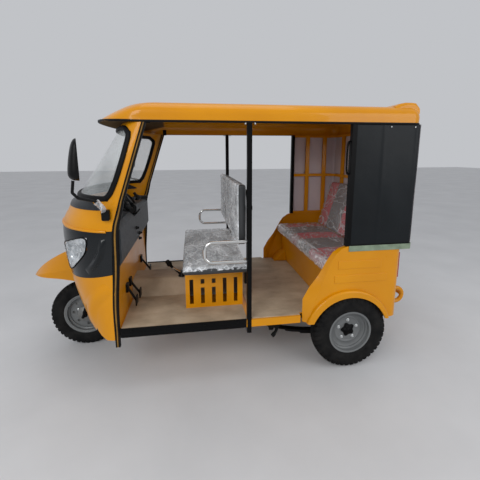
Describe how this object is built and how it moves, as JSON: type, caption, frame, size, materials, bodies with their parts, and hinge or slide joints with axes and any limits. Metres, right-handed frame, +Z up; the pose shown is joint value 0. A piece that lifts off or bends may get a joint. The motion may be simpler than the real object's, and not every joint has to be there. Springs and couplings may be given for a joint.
{
  "type": "auto rickshaw",
  "caption": "Passenger three-wheeler with a rounded open-sided cab, steered front wheel, hard roof, rear bench and canvas curtains",
  "frame": {"origin": "middle of the vehicle's box, on the ground", "axes": "X runs from the nose to the tail, Y to the vehicle's right, Z up"},
  "size_m": [2.853, 1.6914, 1.862],
  "materials": {
    "yellow_paint": "glossy amber yellow paint",
    "slate_paint": "glossy near-black slate paint",
    "grey_trim": "satin grey moulding",
    "black_paint": "satin black paint",
    "black_rubber": "matte black rubber",
    "floor_mat": "matte brown-beige sheet",
    "clear_glass": "clear glass",
    "lamp_lens": "clear moulded lens",
    "red_lens": "red lens",
    "rim_paint": "satin grey paint",
    "tyre": "matte tyre rubber",
    "chrome": "bright chrome",
    "seat_vinyl": "grey vinyl",
    "striped_seat": "red and grey striped fabric",
    "curtain_cloth": "coated canvas",
    "engine_casting": "rough casting",
    "silencer_steel": "dull steel"
  },
  "bodies": {
    "body": {"arm_rails": "chrome", "b_pillars": "black_paint", "backrest_frame": "black_paint", "c_pillars": "black_paint", "cab_surround": "yellow_paint", "canopy_frame": "yellow_paint", "centre_tunnel": "floor_mat", "chassis_frame": "black_paint", "curtain_hems": "grey_trim", "dashboard": "grey_trim", "door_edge_trims": "black_paint", "drive_shaft": "black_paint", "driver_backrest": "seat_vinyl", "driver_seat_box": "yellow_paint", "driver_seat_cushion": "seat_vinyl", "engine_block": "engine_casting", "floor_mats": "floor_mat", "floor_pan": "yellow_paint", "front_apron": "yellow_paint", "front_bulkhead": "yellow_paint", "gear_lever": "black_paint", "headlamps": "lamp_lens", "headlight_band": "slate_paint", "leaf_springs": "black_paint", "mirror_arms": "black_paint", "mirror_heads": "black_paint", "nose_panel": "yellow_paint", "pedals": "black_paint", "rear_axle": "black_paint", "rear_backrest": "striped_seat", "rear_bumper": "yellow_paint", "rear_curtain": "curtain_cloth", "rear_seat_base": "yellow_paint", "rear_seat_cushion": "striped_seat", "rear_tub": "yellow_paint", "rear_window": "clear_glass", "rear_window_border": "black_rubber", "roof_shell": "yellow_paint", "side_curtains": "curtain_cloth", "silencer": "silencer_steel", "sill_strips": "black_paint", "spring_hangers": "black_paint", "tail_lamps": "red_lens", "windscreen_base_trim": "grey_trim", "windscreen_glass": "clear_glass", "windscreen_seal": "black_rubber"},
    "steering": {"steering_fork": "black_paint", "fork_springs": "black_paint", "handlebar": "black_paint", "handlebar_grips": "black_rubber", "front_fender": "yellow_paint"},
    "front_wheel": {"front_tyre": "tyre", "front_rim": "rim_paint"},
    "rear_wheel_left": {"rear_left_tyre": "tyre", "rear_left_rim": "rim_paint"},
    "rear_wheel_right": {"rear_right_tyre": "tyre", "rear_right_rim": "rim_paint"}
  },
  "joints": [
    {"name": "steering_turn", "type": "hinge", "parent": "body", "child": "steering", "pos_m": [-1.03178, 0, 0.25114], "axis": [0.3746, 0, 0.9272], "range_deg": [-35, 35]},
    {"name": "front_wheel_spin", "type": "hinge", "parent": "steering", "child": "front_wheel", "pos_m": [-1.0735, 0, 0.268], "axis": [0, 1, 0], "continuous": true},
    {"name": "rear_wheel_left_spin", "type": "hinge", "parent": "body", "child": "rear_wheel_left", "pos_m": [0.8965, -0.589, 0.272], "axis": [0, 1, 0], "continuous": true},
    {"name": "rear_wheel_right_spin", "type": "hinge", "parent": "body", "child": "rear_wheel_right", "pos_m": [0.8965, 0.589, 0.272], "axis": [0, 1, 0], "continuous": true}
  ]
}
